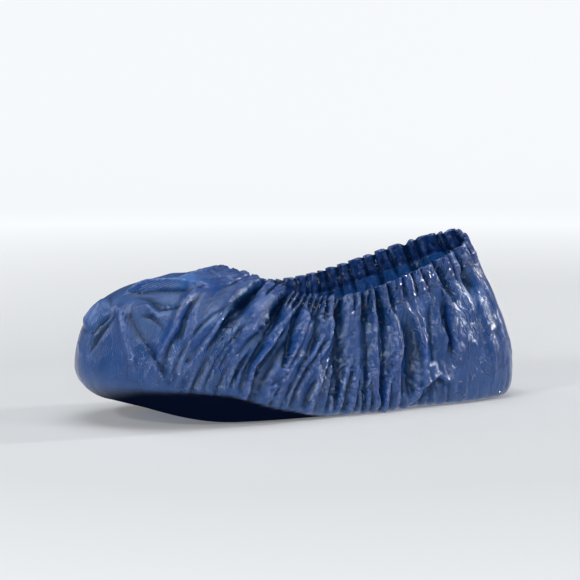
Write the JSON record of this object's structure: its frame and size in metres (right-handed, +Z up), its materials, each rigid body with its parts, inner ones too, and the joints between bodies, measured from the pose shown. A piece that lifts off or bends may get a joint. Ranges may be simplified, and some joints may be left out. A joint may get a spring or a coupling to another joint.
{
  "type": "shoe cover",
  "caption": "Disposable blue film shoe cover: an open-topped bag in the shape of a shoe, its mouth gathered by an elastic in a folded hem.",
  "frame": {"origin": "on the underside of the flat of the sole, near the middle of its length", "axes": "+Z up out of the mouth, +Y from toe to heel, +X to the wearer's left side"},
  "size_m": [0.1315, 0.3241, 0.1136],
  "materials": {
    "film": "embossed translucent blue film",
    "elastic": "plain white"
  },
  "bodies": {
    "root": {"film_body": "film", "hem_casing": "film", "elastic_band": "elastic"}
  },
  "joints": []
}
